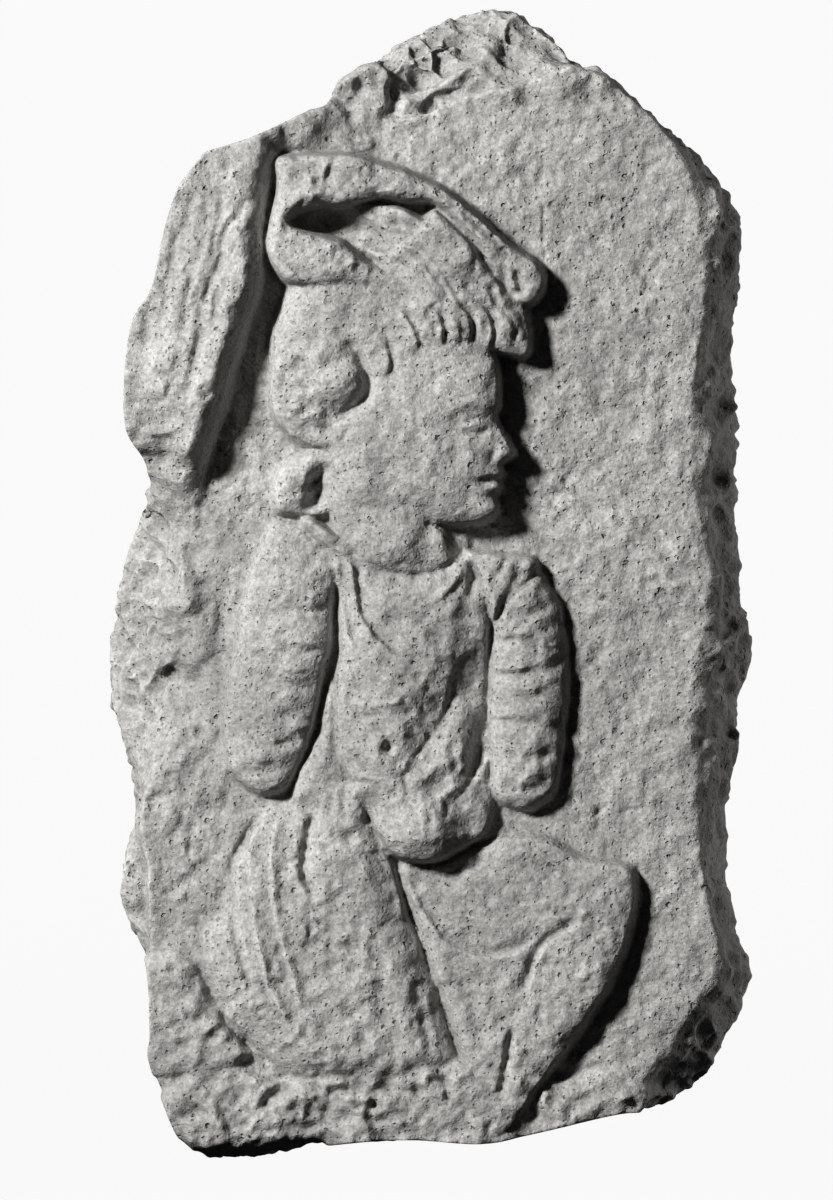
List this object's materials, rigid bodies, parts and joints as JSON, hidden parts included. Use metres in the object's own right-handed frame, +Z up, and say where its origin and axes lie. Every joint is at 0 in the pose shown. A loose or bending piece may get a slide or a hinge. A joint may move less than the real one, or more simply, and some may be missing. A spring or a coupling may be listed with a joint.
{
  "type": "relief fragment",
  "caption": "Broken limestone block with a kneeling figure carved in relief on its front, an arm bent over its head, and a flat back for building into a wall.",
  "frame": {"origin": "middle of the flat back of the block", "axes": "+Z up along the height, -Y out of the carved front, +Y out of the flat back, +X to the viewer's right"},
  "size_m": [0.3445, 0.1288, 0.6175],
  "materials": {
    "stone": "dry, rough, pitted pale limestone"
  },
  "bodies": {
    "root": {"relief_block": "stone"}
  },
  "joints": []
}
